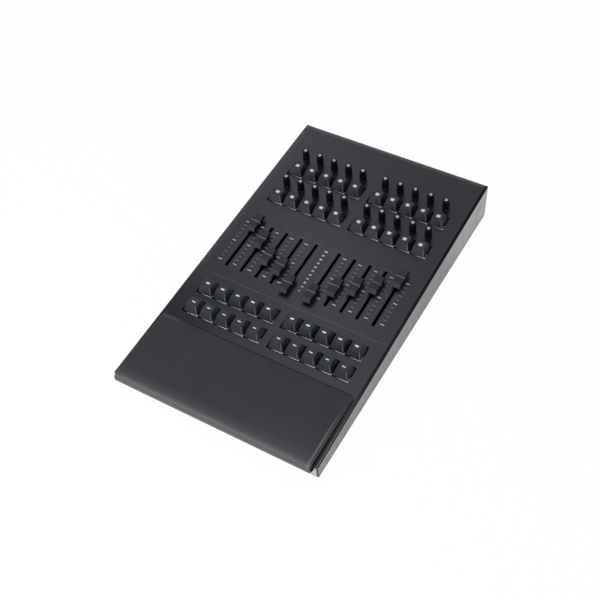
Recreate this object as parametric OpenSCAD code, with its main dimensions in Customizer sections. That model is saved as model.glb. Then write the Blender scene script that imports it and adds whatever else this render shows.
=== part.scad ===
// Lighting control desk: ten faders, twenty knobs and forty lit keys on a sloped panel,
// with a soft wrist rest along the front.
// X runs to the right, Y to the back and Z up. The origin lies on the table, under the
// middle of the desk.
// Controls are placed in the panel frame: X to the right, Y up the slope with 0 at the
// panel's back edge, Z square to the panel with 0 on its top face.

/* [Columns] */
// Spacing of the control columns
pitch = 19.05; // [18.5:0.05:24]
// Spacing of the two columns beside the middle
group_gap = 29.05; // [26:0.05:45]
// Outer columns to the sides of the case
side_margin = 29.2; // [24:0.1:45]

/* [Rows] */
// Back edge to the first knob row
back_margin = 53.4; // [50:0.1:80]
// Knob row to the key row in front of it
knob_to_key = 21.1; // [20:0.1:32]
// First key row to the second knob row
key_to_knob = 25.5; // [20:0.1:40]
// Second key row to the back end of the fader slots
key_to_slot = 43.7; // [38:0.1:60]
// Front end of the fader slots to the third key row
slot_to_key = 35.8; // [30:0.1:50]
// Third key row to the fourth
key_row_gap = 27.9; // [26:0.1:40]
// Fourth key row to the back edge of the wrist rest
key_to_rest = 21.7; // [20:0.1:40]

/* [Case] */
// Length of the case along the slope, from the back edge to the front edge
case_len = 406.2; // [390:0.1:460]
// Depth of the case under the back edge, square to the panel
rear_depth = 48.6; // [42:0.2:70]
// Depth of the case under the front edge, square to the panel
front_depth = 18.8; // [16:0.2:26]
// Thickness of the top panel
panel_t = 3; // [2:0.1:4]
// Radius of the panel's long top edges
panel_edge_r = 1.8; // [0.8:0.1:1.9]
// Radius of the case's back corners, seen from above
corner_r = 1.5; // [1:0.1:6]
// Wall of the base tray
wall_t = 2; // [1.5:0.1:3]
// Bevel along the lower back edge of the tray
tray_bevel = 5; // [3:0.5:9]
// Thickness of the front apron
apron_t = 2; // [1.5:0.1:3]
// Side clearance of the front apron between the tray's walls
apron_fit = 0.1; // [0.05:0.05:0.3]

/* [Wrist rest] */
// Width of the panel's ledge at each side of the wrist rest
rest_ledge = 5; // [3:0.5:12]
// Thickness at the back edge
rest_back_h = 3; // [2.5:0.1:4.5]
// Thickness at the front edge
rest_front_h = 6.5; // [5:0.1:10]
// Radius of the nose that rolls over the front edge
rest_nose_r = 7.2; // [6.5:0.1:9]
// Clearance between the nose and the front of the case
rest_gap = 0.2; // [0.1:0.1:0.5]
// Radius of the upper back edge
rest_back_r = 1.5; // [0.8:0.1:2]
// Radius of the upper and lower side edges
rest_side_r = 1.8; // [1.2:0.1:4]
// How far that rounding reaches past the top and the nose, which leaves a soft crease
rest_crease = 0.2; // [0.1:0.1:0.6]
// Radius of the back corners, seen from above
rest_corner_r = 4; // [2:0.5:8]

/* [Keys] */
// Gap between neighbouring key caps
key_gap = 2.4; // [2:0.05:3.2]
// Height of a cap above the panel
key_h = 8.4; // [7:0.1:11]
// Depth of the cap's straight skirt below the panel's face
key_skirt = 1; // [0.6:0.1:1.6]
// Draw of the cap's left and right faces, each
key_taper_side = 2.4; // [1:0.1:3]
// Draw of the cap's front face
key_taper_front = 3.4; // [1:0.1:3.8]
// Draw of the cap's back face
key_taper_back = 1.9; // [1:0.1:3]
// Wall of the cap
key_wall = 1.5; // [1:0.1:1.8]
// Radius of the finger dish
key_dish_r = 22; // [16:1:40]
// Flat rim beside the finger dish
key_rim = 0.7; // [0.4:0.1:1.2]
// Travel of a key
key_travel = 3.5; // [2:0.1:4]
// Diameter of the stem under the cap
stem_d = 5.5; // [4:0.1:6]
// Clearance of the stem in its switch, on the radius
stem_fit = 0.1; // [0.05:0.01:0.1]
// Clearance under the stem at full travel
stem_play = 0.4; // [0.2:0.05:0.6]
// Clearance between a cap and its light frame
key_clear = 0.6; // [0.4:0.05:0.8]
// Outer rim of the light frame
frame_rim = 1; // [0.8:0.1:1.6]
// Top of the light frame below the panel's face
frame_drop = 0.2; // [0:0.1:0.6]
// Lip of the light frame under the panel, past its window
frame_lip = 2.5; // [1.5:0.1:3]
// Thickness of that lip
frame_lip_t = 1.6; // [1:0.1:2]
// Clearance of the light frame in its window
frame_fit = 0.15; // [0.1:0.05:0.3]
// Side of the switch body's square base
switch_size = 13.8; // [12:0.1:15]
// Wall of the switch body round the stem
switch_wall = 2; // [1.5:0.1:2.2]
// Floor of the switch body under the stem
switch_floor = 0.8; // [0.6:0.1:1.2]

/* [Knobs] */
// Height of a knob's top above the panel
knob_h = 14.6; // [12:0.1:20]
// Gap between a knob and the panel
knob_gap = 1; // [0.8:0.1:1.5]
// Diameter at the top
knob_top_d = 7.6; // [6.4:0.1:8]
// Diameter at the widest place
knob_wide_d = 8.4; // [8.2:0.1:12]
// Diameter at the foot
knob_foot_d = 7.8; // [7:0.1:8.2]
// Height above the panel where the grip starts to flare
knob_flare_h = 10; // [8.5:0.1:10.5]
// Height of the widest place's upper end
knob_wide_h = 5; // [2.8:0.1:6]
// Height of the widest place's lower end
knob_tuck_h = 2; // [1.8:0.1:2.6]
// Radius of the top edge
knob_edge_r = 1.1; // [0.5:0.1:1.4]
// Diameter of the lens on top
lens_d = 3.8; // [2.6:0.1:4]
// Height of the lens above the top
lens_t = 0.2; // [0.1:0.05:0.4]
// Diameter of the shaft
shaft_d = 5; // [4:0.1:5.4]
// Clearance of the shaft in its bushing, on the radius
shaft_fit = 0.05; // [0.02:0.01:0.1]
// Wall of the bushing
bushing_wall = 0.7; // [0.5:0.05:0.9]
// Clearance of the bushing in the panel, on the radius
bushing_fit = 0.2; // [0.1:0.05:0.4]
// Clearance under the shaft
shaft_play = 0.25; // [0.1:0.05:0.5]
// Floor of the encoder body under the shaft
encoder_floor = 1; // [0.6:0.1:1.5]
// Width of the encoder body
encoder_w = 12.5; // [11:0.1:14]
// Depth of the encoder body
encoder_d = 13; // [11:0.1:14]

/* [Faders] */
// Travel of a fader
fader_travel = 60; // [40:1:100]
// Width of the slot in the panel
slot_w = 3.6; // [2.8:0.1:4.5]
// Free length at each end of the slot
slot_play = 1.5; // [1:0.1:3]
// Length of the lever along the slot
lever_len = 8; // [5:0.1:10]
// Thickness of the lever
lever_t = 1.2; // [0.8:0.1:1.6]
// Clearance of the lever and its carriage in the housing
lever_fit = 0.4; // [0.3:0.05:0.5]
// Length of the carriage on the lever
carriage_len = 12; // [11:0.5:16]
// Width of the fader housing
housing_w = 10; // [8:0.1:13]
// Height of the fader housing
housing_h = 7.5; // [6:0.1:9]
// Wall of the fader housing
housing_wall = 1.2; // [0.8:0.1:1.5]
// End wall of the fader housing
housing_end = 2.5; // [1.5:0.1:4]
// Width of a fader cap at its foot
cap_w = 10.8; // [9:0.1:13]
// Length of a fader cap at its foot
cap_len = 25.8; // [22:0.1:30]
// Length of a fader cap at its top
cap_top_len = 19.2; // [14:0.1:21]
// Gap between a fader cap and the panel
cap_gap = 4; // [2:0.1:5]
// Height of a fader cap
cap_h = 4.7; // [4:0.1:8]
// Depth of the hollow in the cap's top
cap_dip = 0.4; // [0.2:0.1:0.8]
// Draw of the cap's left and right faces, each
cap_taper = 0.3; // [0.2:0.1:1]
// Width of the pointer groove
pointer_w = 0.6; // [0.4:0.1:1.5]
// Depth of the pointer groove
pointer_t = 0.3; // [0.2:0.05:0.5]

/* [Boards and fastenings] */
// Distance from the panel to the key boards
board_drop = 6; // [5.5:0.1:8]
// Thickness of the circuit boards
board_t = 1.6; // [1:0.1:2.4]
// Board that reaches past the outermost piece on it
board_edge = 2.5; // [1:0.1:4]
// Clearance between the standoffs and their neighbours on a board
board_clear = 0.4; // [0.2:0.1:1]
// Diameter of the board standoffs
standoff_d = 6; // [4:0.1:6]
// Diameter of the posts under the panel
post_d = 8; // [7:0.1:10]
// Distance of the posts from the tray's walls
post_gap = 1; // [0.5:0.1:2]
// Distance of the back posts from the back edge
post_back = 20; // [12:0.5:24]
// Distance of the front posts from the front edge
post_front = 16; // [10:0.5:30]
// Diameter of the case screws
screw_d = 3; // [2.5:0.1:4]
// Reach of the case screws into the posts
screw_reach = 9; // [6:0.5:10]
// Clearance of the screws in the posts, on the radius
screw_fit = 0.05; // [0.02:0.01:0.1]
// Clearance of the screws in the tray's floor, on the radius
screw_clear = 0.3; // [0.1:0.05:0.5]
// Diameter of the screw heads
screw_head_d = 6; // [5:0.1:8]
// Height of the screw heads
screw_head_h = 1.8; // [1.2:0.1:2.4]
// Diameter of the rubber feet
foot_d = 16; // [12:0.5:22]
// Height of the rubber feet
foot_h = 4; // [3:0.1:8]
// Distance of the feet from the sides of the case
foot_inset_x = 24; // [20:0.5:40]
// Distance of the feet from the front and back of the floor
foot_inset_y = 36; // [30:0.5:60]

/* [Back sockets] */
// Height of the interface board above the floor
interface_lift = 6; // [4:0.1:9]
// Width of the interface board
interface_w = 80; // [70:1:120]
// Depth of the interface board
interface_d = 28; // [24:0.5:30]
// Gap between the interface board and the back wall
interface_gap = 1; // [0.5:0.1:2]
// Spacing of the two sockets
socket_gap = 36; // [26:0.5:50]
// Clearance of the sockets in the back wall
socket_fit = 0.5; // [0.4:0.05:0.8]
// Width of the data socket
data_w = 12; // [11:0.1:14]
// Height of the data socket
data_h = 11; // [10:0.1:12]
// Length of the data socket
data_len = 16; // [14:0.5:20]
// Wall of the data socket's shell
data_wall = 1; // [0.6:0.1:1.4]
// Width of the data socket's tongue
data_tongue_w = 6; // [4:0.1:7]
// Height of the data socket's tongue
data_tongue_h = 2.6; // [2:0.1:3.5]
// Depth of the data socket's opening
data_depth = 9; // [6:0.5:10]
// Width and height of the power inlet
inlet_size = 10; // [9:0.1:12]
// Length of the power inlet
inlet_len = 14; // [12:0.5:18]
// Diameter of the power inlet's hole
inlet_d = 5.6; // [4.5:0.1:6.5]
// Depth of the power inlet's hole
inlet_depth = 9; // [6:0.5:10]
// Diameter of the power inlet's pin
inlet_pin_d = 2; // [1.2:0.1:2.4]

/* [Hidden] */
group_cols = 5;
cols = 2 * group_cols;
eps = 0.01;
// Cuts run this far past the face they open
over = 1;
$fn = 48;
// Steps round the large circles of the wrist rest's crown, the cap's hollow and the finger dish
crown_steps = 720;
hollow_steps = 360;
dish_steps = 180;
// Half the turn between the tray's bevel and the walls beside it
bevel_half = 22.5;
// Share of a fader's travel at the middle of its slot
mid_share = 0.5;

// Each fader's rest position, as a share of its travel above the lower stop
fader_rest = [1, 0.69, 0.39, 0.29, 0, 0, 0.31, 0.49, 0.69, 1];

function col_x(i) = (i < group_cols ? -1 : 1)
    * (group_gap / 2 + pitch * (i < group_cols ? group_cols - 1 - i : i - group_cols));
outer_x = col_x(cols - 1);
case_w = 2 * (outer_x + side_margin);

// Rows, from the back edge to the front
slot_len = fader_travel + lever_len + 2 * slot_play;
knob_y1 = -back_margin;
key_y1 = knob_y1 - knob_to_key;
knob_y2 = key_y1 - key_to_knob;
key_y2 = knob_y2 - knob_to_key;
slot_back = key_y2 - key_to_slot;
fader_y = slot_back - slot_len / 2;
slot_front = slot_back - slot_len;
key_y3 = slot_front - slot_to_key;
key_y4 = key_y3 - key_row_gap;
rest_back = key_y4 - key_to_rest;
front_edge = -case_len;
knob_rows = [knob_y1, knob_y2];
key_rows = [key_y1, key_y2, key_y3, key_y4];

// Slope of the panel and the place of its back edge
tilt = atan((rear_depth - front_depth) / -front_edge);
function floor_z(y) = -rear_depth - y * tan(tilt);
function inner_floor_z(y) = floor_z(y) + wall_t / cos(tilt);
nose_y = front_edge - rest_gap;
nose_z = rest_front_h - rest_nose_r;
reach_front = -nose_y * cos(tilt) + nose_z * sin(tilt) + rest_nose_r;
reach_back = (rear_depth - tray_bevel) * sin(tilt);
back_y = (reach_front - reach_back) / 2;
back_z = foot_h + rear_depth * cos(tilt);
function world_y(y, z) = back_y + y * cos(tilt) - z * sin(tilt);
function world_z(y, z) = back_z + y * sin(tilt) + z * cos(tilt);
floor_top = foot_h + wall_t;

// Keys, light frames and switches
key_size = pitch - key_gap;
cell = key_size + 2 * key_clear;
frame_w = (group_cols - 1) * pitch + cell + 2 * frame_rim;
frame_d = cell + 2 * frame_rim;
bank_x = group_gap / 2 + pitch * (group_cols - 1) / 2;
key_roof = key_h - key_wall - key_dish_r
    + sqrt(pow(key_dish_r, 2) - pow(key_size / 2 - key_taper_side - key_rim, 2));
board_z = -panel_t - board_drop;
stem_end = board_z + switch_floor + stem_play + key_travel;
switch_shoulder = -key_skirt - key_travel - key_clear;
switch_top = -key_skirt - 2 * key_clear;
turret_size = stem_d + 2 * stem_fit + 2 * switch_wall;

// Outside of the encoder's bushing
bushing_d = shaft_d + 2 * (shaft_fit + bushing_wall);

// Fader housing and lever
cavity_len = fader_travel + carriage_len + 2 * slot_play;
housing_len = cavity_len + 2 * housing_end;
housing_top = -panel_t;
housing_bottom = housing_top - housing_h;
cavity_top = housing_top - housing_wall;
cavity_bottom = housing_bottom + housing_wall;
function fader_at(i) = fader_y + fader_travel * (fader_rest[i] - mid_share);

// Boards
board_w = 2 * (outer_x + cell / 2 + frame_rim + frame_lip + board_edge);
standoff_step = frame_d / 2 + frame_fit + frame_lip + standoff_d / 2 + board_clear;
back_standoff_y = knob_y1 + encoder_d / 2 + standoff_d / 2 + board_clear;
board_margin = standoff_d / 2 + board_edge;
back_board = [back_standoff_y + board_margin, key_y2 - standoff_step - board_margin];
fader_board = [fader_y + housing_len / 2 + board_edge, fader_y - housing_len / 2 - board_edge];
front_board = [key_y3 + standoff_step + board_margin, key_y4 - standoff_step - board_margin];
standoff_rows = [back_standoff_y, key_y2 - standoff_step, key_y3 + standoff_step, key_y4 - standoff_step];
standoff_x = board_w / 2 - board_margin;

// Posts and screws
post_x = case_w / 2 - wall_t - post_gap - post_d / 2;
post_rows = [-post_back, (back_board[1] + fader_board[0]) / 2, front_edge + post_front];

// Back wall and its sockets, level with the table
interface_z = floor_top + interface_lift;
socket_z = interface_z + board_t;
function wall_y(z) = back_y + (back_z - z) * tan(tilt);
interface_back = wall_y(socket_z + data_h) - wall_t / cos(tilt) - interface_gap;

function two(i) = i < 10 ? str("0", i) : str(i);
fader_names = [for (i = [1:cols]) str("fader_", two(i))];
knob_names = [for (i = [1:2 * cols]) str("knob_", two(i))];
bank_names = [for (r = [1:3]) for (s = ["left", "right"]) str("key_bank_row", r, "_", s)];
key_names = [for (i = [1:cols]) str("key_row4_", two(i))];

// Moves from the panel frame into the desk's frame
module on_panel() {
    translate([0, back_y, back_z]) rotate([tilt, 0, 0]) children();
}

// Extrudes an outline drawn in Y and Z along X, evenly to both sides
module along_x(width) {
    rotate([90, 0, 90]) linear_extrude(width, center = true) children();
}

// Extrudes an outline drawn in X and Z along Y, evenly to both sides
module along_y(depth) {
    rotate([90, 0, 0]) linear_extrude(depth, center = true) children();
}

// Places children at each column of a row
module at_columns(y) {
    for (i = [0:cols - 1]) translate([col_x(i), y, 0]) children();
}

// Places children at the middle of each bank of keys
module at_banks() {
    for (y = key_rows, side = [-1, 1]) translate([side * bank_x, y, 0]) children();
}

// Plan of the case: back corners rounded, from the back edge to the front edge
module case_plan(width, back, front, r) {
    translate([-width / 2, front]) square([width, back - r - front]);
    translate([-width / 2 + r, front]) square([width - 2 * r, back - front]);
    for (side = [-1, 1]) translate([side * (width / 2 - r), back - r]) circle(r);
}

// Section with its upper corners rounded, hanging below the panel's face
module crowned_section(width, depth, r) {
    translate([-width / 2, -depth]) square([width, depth - r]);
    translate([-width / 2 + r, -depth]) square([width - 2 * r, depth]);
    for (side = [-1, 1]) translate([side * (width / 2 - r), -r]) circle(r);
}

// Side view of the tray's outside
module tray_side() {
    polygon([[0, -panel_t], [0, -rear_depth + tray_bevel], [-tray_bevel, floor_z(-tray_bevel)],
             [front_edge, floor_z(front_edge)], [front_edge, -panel_t]]);
}

// Side view of the tray's hollow, open to the top and the front
module tray_hollow_side() {
    inset = wall_t * tan(bevel_half);
    open = front_edge - over;
    polygon([[-wall_t, 0], [-wall_t, -rear_depth + tray_bevel + inset],
             [-tray_bevel - inset, inner_floor_z(-tray_bevel - inset)],
             [open, inner_floor_z(open)], [open, 0]]);
}

// Cuts through the back wall for a socket that is centred on x
module wall_cut(x, width, height) {
    translate([x - width / 2 - socket_fit, interface_back, socket_z - socket_fit])
        cube([width + 2 * socket_fit, interface_gap + 3 * wall_t + over, height + 2 * socket_fit]);
}

module base_tray() {
    color("darkgray") difference() {
        on_panel() difference() {
            intersection() {
                along_x(case_w) tray_side();
                translate([0, 0, -rear_depth - over]) linear_extrude(rear_depth + 2 * over)
                    case_plan(case_w, 0, front_edge, corner_r);
            }
            along_x(case_w - 2 * wall_t) tray_hollow_side();
        }
        wall_cut(-socket_gap / 2, data_w, data_h);
        wall_cut(socket_gap / 2, inlet_size, inlet_size);
        for (y = post_rows, side = [-1, 1])
            translate([side * post_x, world_y(y, -panel_t), foot_h - over])
                cylinder(d = screw_d + 2 * screw_clear, h = wall_t + 2 * over);
    }
}

module front_apron() {
    color("silver") on_panel() along_x(case_w - 2 * wall_t - 2 * apron_fit)
        polygon([[front_edge, -panel_t], [front_edge, inner_floor_z(front_edge)],
                 [front_edge + apron_t, inner_floor_z(front_edge + apron_t)],
                 [front_edge + apron_t, -panel_t]]);
}

// Upright post under the panel with a screw hole from below
module post(x, y) {
    translate([x, world_y(y, -panel_t), floor_top])
        cylinder(d = post_d, h = world_z(y, -panel_t) - floor_top + panel_t / 2);
}

module post_hole(x, y) {
    translate([x, world_y(y, -panel_t), floor_top - over])
        cylinder(d = screw_d + 2 * screw_fit, h = screw_reach + over + screw_d / 2);
}

module panel_plate() {
    difference() {
        intersection() {
            translate([0, front_edge / 2, 0]) along_y(-front_edge)
                crowned_section(case_w, panel_t, panel_edge_r);
            along_x(case_w) intersection() {
                translate([front_edge, 0, 0]) crowned_section(-2 * front_edge, panel_t, panel_edge_r);
                translate([front_edge, -panel_t]) square([-front_edge, panel_t]);
            }
            translate([0, 0, -panel_t]) linear_extrude(panel_t)
                case_plan(case_w, 0, front_edge, corner_r);
        }
        at_banks() cube([frame_w + 2 * frame_fit, frame_d + 2 * frame_fit, 4 * panel_t], center = true);
        for (y = knob_rows) at_columns(y)
            cylinder(d = bushing_d + 2 * bushing_fit, h = 4 * panel_t, center = true);
        at_columns(fader_y) cube([slot_w, slot_len, 4 * panel_t], center = true);
    }
}

module top_panel() {
    color("#26262a") difference() {
        union() {
            on_panel() panel_plate();
            for (y = post_rows, side = [-1, 1]) post(side * post_x, y);
        }
        for (y = post_rows, side = [-1, 1]) post_hole(side * post_x, y);
    }
}

// Side view of the pad: a slow crown that ends in a half-round nose
module rest_side() {
    run = rest_back - nose_y;
    drop = rest_front_h - rest_back_h;
    crown_r = (pow(run, 2) + pow(drop, 2)) / (2 * drop);
    crown_z = rest_front_h - crown_r;
    edge_y = rest_back - rest_back_r;
    edge_z = crown_z + sqrt(pow(crown_r - rest_back_r, 2) - pow(edge_y - nose_y, 2));
    intersection() {
        translate([nose_y, crown_z]) circle(crown_r, $fn = crown_steps);
        union() {
            translate([nose_y, 0]) square([edge_y - nose_y, 2 * rest_front_h]);
            translate([nose_y, 0]) square([run, edge_z]);
            translate([edge_y, edge_z]) circle(rest_back_r);
        }
    }
    difference() {
        translate([nose_y, nose_z]) circle(rest_nose_r);
        translate([nose_y, nose_z - 2 * rest_nose_r]) square(4 * rest_nose_r);
    }
}

// Front view of the pad: upright sides with rounded edges above and below
module rest_front(width) {
    x = width / 2 - rest_side_r;
    z = rest_nose_r + rest_crease - rest_side_r;
    translate([0, nose_z]) {
        square([width, 2 * z], center = true);
        square([2 * x, 2 * (z + rest_side_r)], center = true);
        for (side = [-x, x], level = [-z, z]) translate([side, level]) circle(rest_side_r);
    }
}

module wrist_rest() {
    width = case_w - 2 * rest_ledge;
    plan_front = nose_y - rest_nose_r - over;
    color("#3a3d40") on_panel() intersection() {
        along_x(width + 2 * over) rest_side();
        translate([0, (rest_back + plan_front) / 2, 0]) along_y(rest_back - plan_front + 2 * over)
            rest_front(width + 2 * eps);
        translate([0, 0, nose_z - rest_nose_r - over]) linear_extrude(3 * rest_nose_r)
            case_plan(width, rest_back, plan_front, rest_corner_r);
    }
}

module board(span, z) {
    translate([-board_w / 2, span[1], z - board_t]) cube([board_w, span[0] - span[1], board_t]);
}

module circuit_boards() {
    color("darkgreen") {
        on_panel() {
            board(back_board, board_z);
            board(fader_board, housing_bottom);
            board(front_board, board_z);
        }
        translate([-interface_w / 2, interface_back - interface_d, interface_z])
            cube([interface_w, interface_d, board_t]);
    }
}

module board_standoffs() {
    color("gold") {
        on_panel() for (y = standoff_rows, x = [-standoff_x, 0, standoff_x])
            translate([x, y, board_z]) cylinder(d = standoff_d, h = board_drop);
        for (x = [-1, 1], y = [board_margin, interface_d - board_margin])
            translate([x * (interface_w / 2 - board_margin), interface_back - y, floor_top])
                cylinder(d = standoff_d, h = interface_lift);
    }
}

module fader_housing() {
    difference() {
        translate([-housing_w / 2, -housing_len / 2, housing_bottom])
            cube([housing_w, housing_len, housing_h]);
        translate([-housing_w / 2 + housing_wall, -cavity_len / 2, cavity_bottom])
            cube([housing_w - 2 * housing_wall, cavity_len, cavity_top - cavity_bottom]);
        translate([-lever_t / 2 - lever_fit, -slot_len / 2, cavity_top - eps])
            cube([lever_t + 2 * lever_fit, slot_len, housing_wall + over]);
    }
}

module fader_housings() {
    color("lightgray") on_panel() at_columns(fader_y) fader_housing();
}

module encoder_housing() {
    difference() {
        union() {
            translate([-encoder_w / 2, -encoder_d / 2, board_z]) cube([encoder_w, encoder_d, board_drop]);
            translate([0, 0, board_z + encoder_floor])
                cylinder(d = bushing_d, h = knob_gap / 2 - board_z - encoder_floor);
        }
        translate([0, 0, board_z + encoder_floor]) cylinder(d = shaft_d + 2 * shaft_fit, h = 2 * knob_h);
    }
}

module encoder_housings() {
    color("dimgray") on_panel() for (y = knob_rows) at_columns(y) encoder_housing();
}

module key_switch() {
    difference() {
        union() {
            translate([-switch_size / 2, -switch_size / 2, board_z])
                cube([switch_size, switch_size, switch_shoulder - board_z]);
            translate([-turret_size / 2, -turret_size / 2, board_z])
                cube([turret_size, turret_size, switch_top - board_z]);
        }
        translate([0, 0, board_z + switch_floor]) cylinder(d = stem_d + 2 * stem_fit, h = -board_z);
    }
}

module key_switches() {
    color("#303338") on_panel() for (y = key_rows) at_columns(y) key_switch();
}

// Frame with five cells, held under the panel by its lip
module key_light_frame() {
    lip_w = frame_w + 2 * (frame_fit + frame_lip);
    lip_d = frame_d + 2 * (frame_fit + frame_lip);
    frame_bottom = -panel_t - frame_lip_t;
    difference() {
        union() {
            translate([-frame_w / 2, -frame_d / 2, frame_bottom])
                cube([frame_w, frame_d, -frame_drop - frame_bottom]);
            translate([-lip_w / 2, -lip_d / 2, frame_bottom]) cube([lip_w, lip_d, frame_lip_t]);
        }
        for (i = [0:group_cols - 1])
            translate([(i - (group_cols - 1) / 2) * pitch, 0, 0])
                cube([cell, cell, 4 * panel_t], center = true);
    }
}

module key_light_frames() {
    color("white") on_panel() at_banks() key_light_frame();
}

module data_socket() {
    x = -socket_gap / 2;
    face = wall_y(socket_z + data_h);
    tongue_z = socket_z + (data_h - data_tongue_h) / 2;
    color("silver") difference() {
        translate([x - data_w / 2, face - data_len, socket_z]) cube([data_w, data_len, data_h]);
        difference() {
            translate([x - data_w / 2 + data_wall, face - data_depth, socket_z + data_wall])
                cube([data_w - 2 * data_wall, data_depth + over, data_h - 2 * data_wall]);
            translate([x - data_tongue_w / 2, face - data_depth - over, tongue_z])
                cube([data_tongue_w, data_depth, data_tongue_h]);
        }
    }
}

module power_inlet() {
    x = socket_gap / 2;
    face = wall_y(socket_z + inlet_size);
    axis_z = socket_z + inlet_size / 2;
    color("#202020") difference() {
        translate([x - inlet_size / 2, face - inlet_len, socket_z])
            cube([inlet_size, inlet_len, inlet_size]);
        translate([x, face + over, axis_z]) rotate([90, 0, 0]) difference() {
            cylinder(d = inlet_d, h = inlet_depth + over);
            translate([0, 0, 2 * over]) cylinder(d = inlet_pin_d, h = inlet_depth);
        }
    }
}

module case_screws() {
    color("gray") for (y = post_rows, side = [-1, 1])
        translate([side * post_x, world_y(y, -panel_t), foot_h]) {
            translate([0, 0, -screw_head_h]) cylinder(d = screw_head_d, h = screw_head_h);
            translate([0, 0, -eps]) cylinder(d = screw_d, h = wall_t + screw_reach);
        }
}

module rubber_feet() {
    y_front = world_y(front_edge, floor_z(front_edge)) + foot_inset_y;
    y_back = world_y(-tray_bevel, floor_z(-tray_bevel)) - foot_inset_y;
    color("#1c1c1c") for (y = [y_front, y_back], side = [-1, 1])
        translate([side * (case_w / 2 - foot_inset_x), y, 0]) cylinder(d = foot_d, h = foot_h);
}

// Fader cap: steep front and back faces, a hollow top and a pointer groove across its middle
module fader_cap() {
    top = cap_gap + cap_h;
    hollow_r = (pow(cap_top_len / 2, 2) + pow(cap_dip, 2)) / (2 * cap_dip);
    difference() {
        intersection() {
            along_x(cap_w) polygon([
                [-cap_len / 2, cap_gap], [cap_len / 2, cap_gap],
                [cap_top_len / 2, top], [-cap_top_len / 2, top]]);
            along_y(cap_len) polygon([
                [-cap_w / 2, cap_gap], [cap_w / 2, cap_gap],
                [cap_w / 2 - cap_taper, top], [-cap_w / 2 + cap_taper, top]]);
        }
        along_x(2 * cap_w) translate([0, top - cap_dip + hollow_r]) circle(hollow_r, $fn = hollow_steps);
        translate([0, 0, top - cap_dip]) cube([2 * cap_w, pointer_w, 2 * pointer_t], center = true);
    }
}

module fader(i) {
    carriage_w = housing_w - 2 * housing_wall - 2 * lever_fit;
    carriage_z = cavity_bottom + lever_fit;
    color("#2c3030") on_panel() translate([col_x(i), fader_at(i), 0]) {
        fader_cap();
        translate([-lever_t / 2, -lever_len / 2, carriage_z])
            cube([lever_t, lever_len, cap_gap + cap_h / 2 - carriage_z]);
        translate([-carriage_w / 2, -carriage_len / 2, carriage_z])
            cube([carriage_w, carriage_len, cavity_top - lever_fit - carriage_z]);
    }
}

// Knob with its shaft, turned about the panel's normal
module knob(i) {
    row = knob_rows[floor(i / cols)];
    shaft_end = board_z + encoder_floor + shaft_play;
    top_r = knob_top_d / 2;
    rim = top_r - knob_edge_r;
    edge_z = knob_h - knob_edge_r;
    color("#1b1c1e") on_panel() translate([col_x(i % cols), row, 0]) {
        rotate_extrude() {
            polygon([[0, knob_gap], [knob_foot_d / 2, knob_gap], [knob_wide_d / 2, knob_tuck_h],
                     [knob_wide_d / 2, knob_wide_h], [top_r, knob_flare_h], [top_r, edge_z], [0, edge_z]]);
            translate([0, edge_z - eps]) square([rim, knob_edge_r + eps]);
            translate([rim, edge_z]) intersection() {
                circle(knob_edge_r);
                translate([-eps, -eps]) square(2 * knob_edge_r);
            }
            translate([0, knob_h - eps]) square([lens_d / 2, lens_t + eps]);
        }
        translate([0, 0, shaft_end]) cylinder(d = shaft_d, h = knob_h / 2 - shaft_end);
    }
}

// Half of an upright wedge's width at height z, for a face drawn in by draw over the key's height
function drawn(half, draw, z) = half - draw * max(z, 0) / key_h;

// Key cap with a finger dish, a hollow below and a round stem
module key_cap() {
    half = key_size / 2;
    in = half - key_wall;
    dish_half = half - key_taper_side - key_rim;
    dish_z = key_h + sqrt(pow(key_dish_r, 2) - pow(dish_half, 2));
    low = -key_skirt;
    difference() {
        intersection() {
            along_y(key_size) polygon([
                [-half, low], [half, low], [half, 0], [drawn(half, key_taper_side, key_h), key_h],
                [-drawn(half, key_taper_side, key_h), key_h], [-half, 0]]);
            along_x(key_size) polygon([
                [-half, low], [half, low], [half, 0], [drawn(half, key_taper_back, key_h), key_h],
                [-drawn(half, key_taper_front, key_h), key_h], [-half, 0]]);
        }
        translate([0, 0, dish_z]) rotate([90, 0, 0])
            cylinder(r = key_dish_r, h = 2 * key_size, center = true, $fn = dish_steps);
        intersection() {
            along_y(key_size) polygon([
                [-in, low - over], [in, low - over], [in, 0], [drawn(in, key_taper_side, key_roof), key_roof],
                [-drawn(in, key_taper_side, key_roof), key_roof], [-in, 0]]);
            along_x(key_size) polygon([
                [-in, low - over], [in, low - over], [in, 0], [drawn(in, key_taper_back, key_roof), key_roof],
                [-drawn(in, key_taper_front, key_roof), key_roof], [-in, 0]]);
        }
    }
    translate([0, 0, stem_end]) cylinder(d = stem_d, h = key_roof + key_wall / 2 - stem_end);
}

module key_bank(n) {
    first = (n % 2) * group_cols;
    color("#2a2d2e") on_panel() for (i = [first:first + group_cols - 1])
        translate([col_x(i), key_rows[floor(n / 2)], 0]) key_cap();
}

module front_key(i) {
    color("#2a2d2e") on_panel() translate([col_x(i), key_y4, 0]) key_cap();
}

base_tray();
front_apron();
top_panel();
wrist_rest();
circuit_boards();
board_standoffs();
fader_housings();
encoder_housings();
key_switches();
key_light_frames();
data_socket();
power_inlet();
case_screws();
rubber_feet();
for (i = [0:cols - 1]) fader(i);
for (i = [0:2 * cols - 1]) knob(i);
for (n = [0:len(bank_names) - 1]) key_bank(n);
for (i = [0:cols - 1]) front_key(i);
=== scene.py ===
# %% [markdown]
# # A lighting control desk
# The desk is a black sloped panel on a grey metal tray. It carries twenty slim knobs, forty lit
# keys, ten faders with a printed scale, and a soft wrist rest that rolls over the front edge.
# The engineering model is loaded first and stays as it is. This lesson dresses it: some of its
# parts only get a finish, and others are replaced by pieces with rounded edges and fine detail.

# %% Load the engineering model
import math
from contextlib import contextmanager

import bmesh
import bpy
from mathutils import Matrix, Vector


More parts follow.
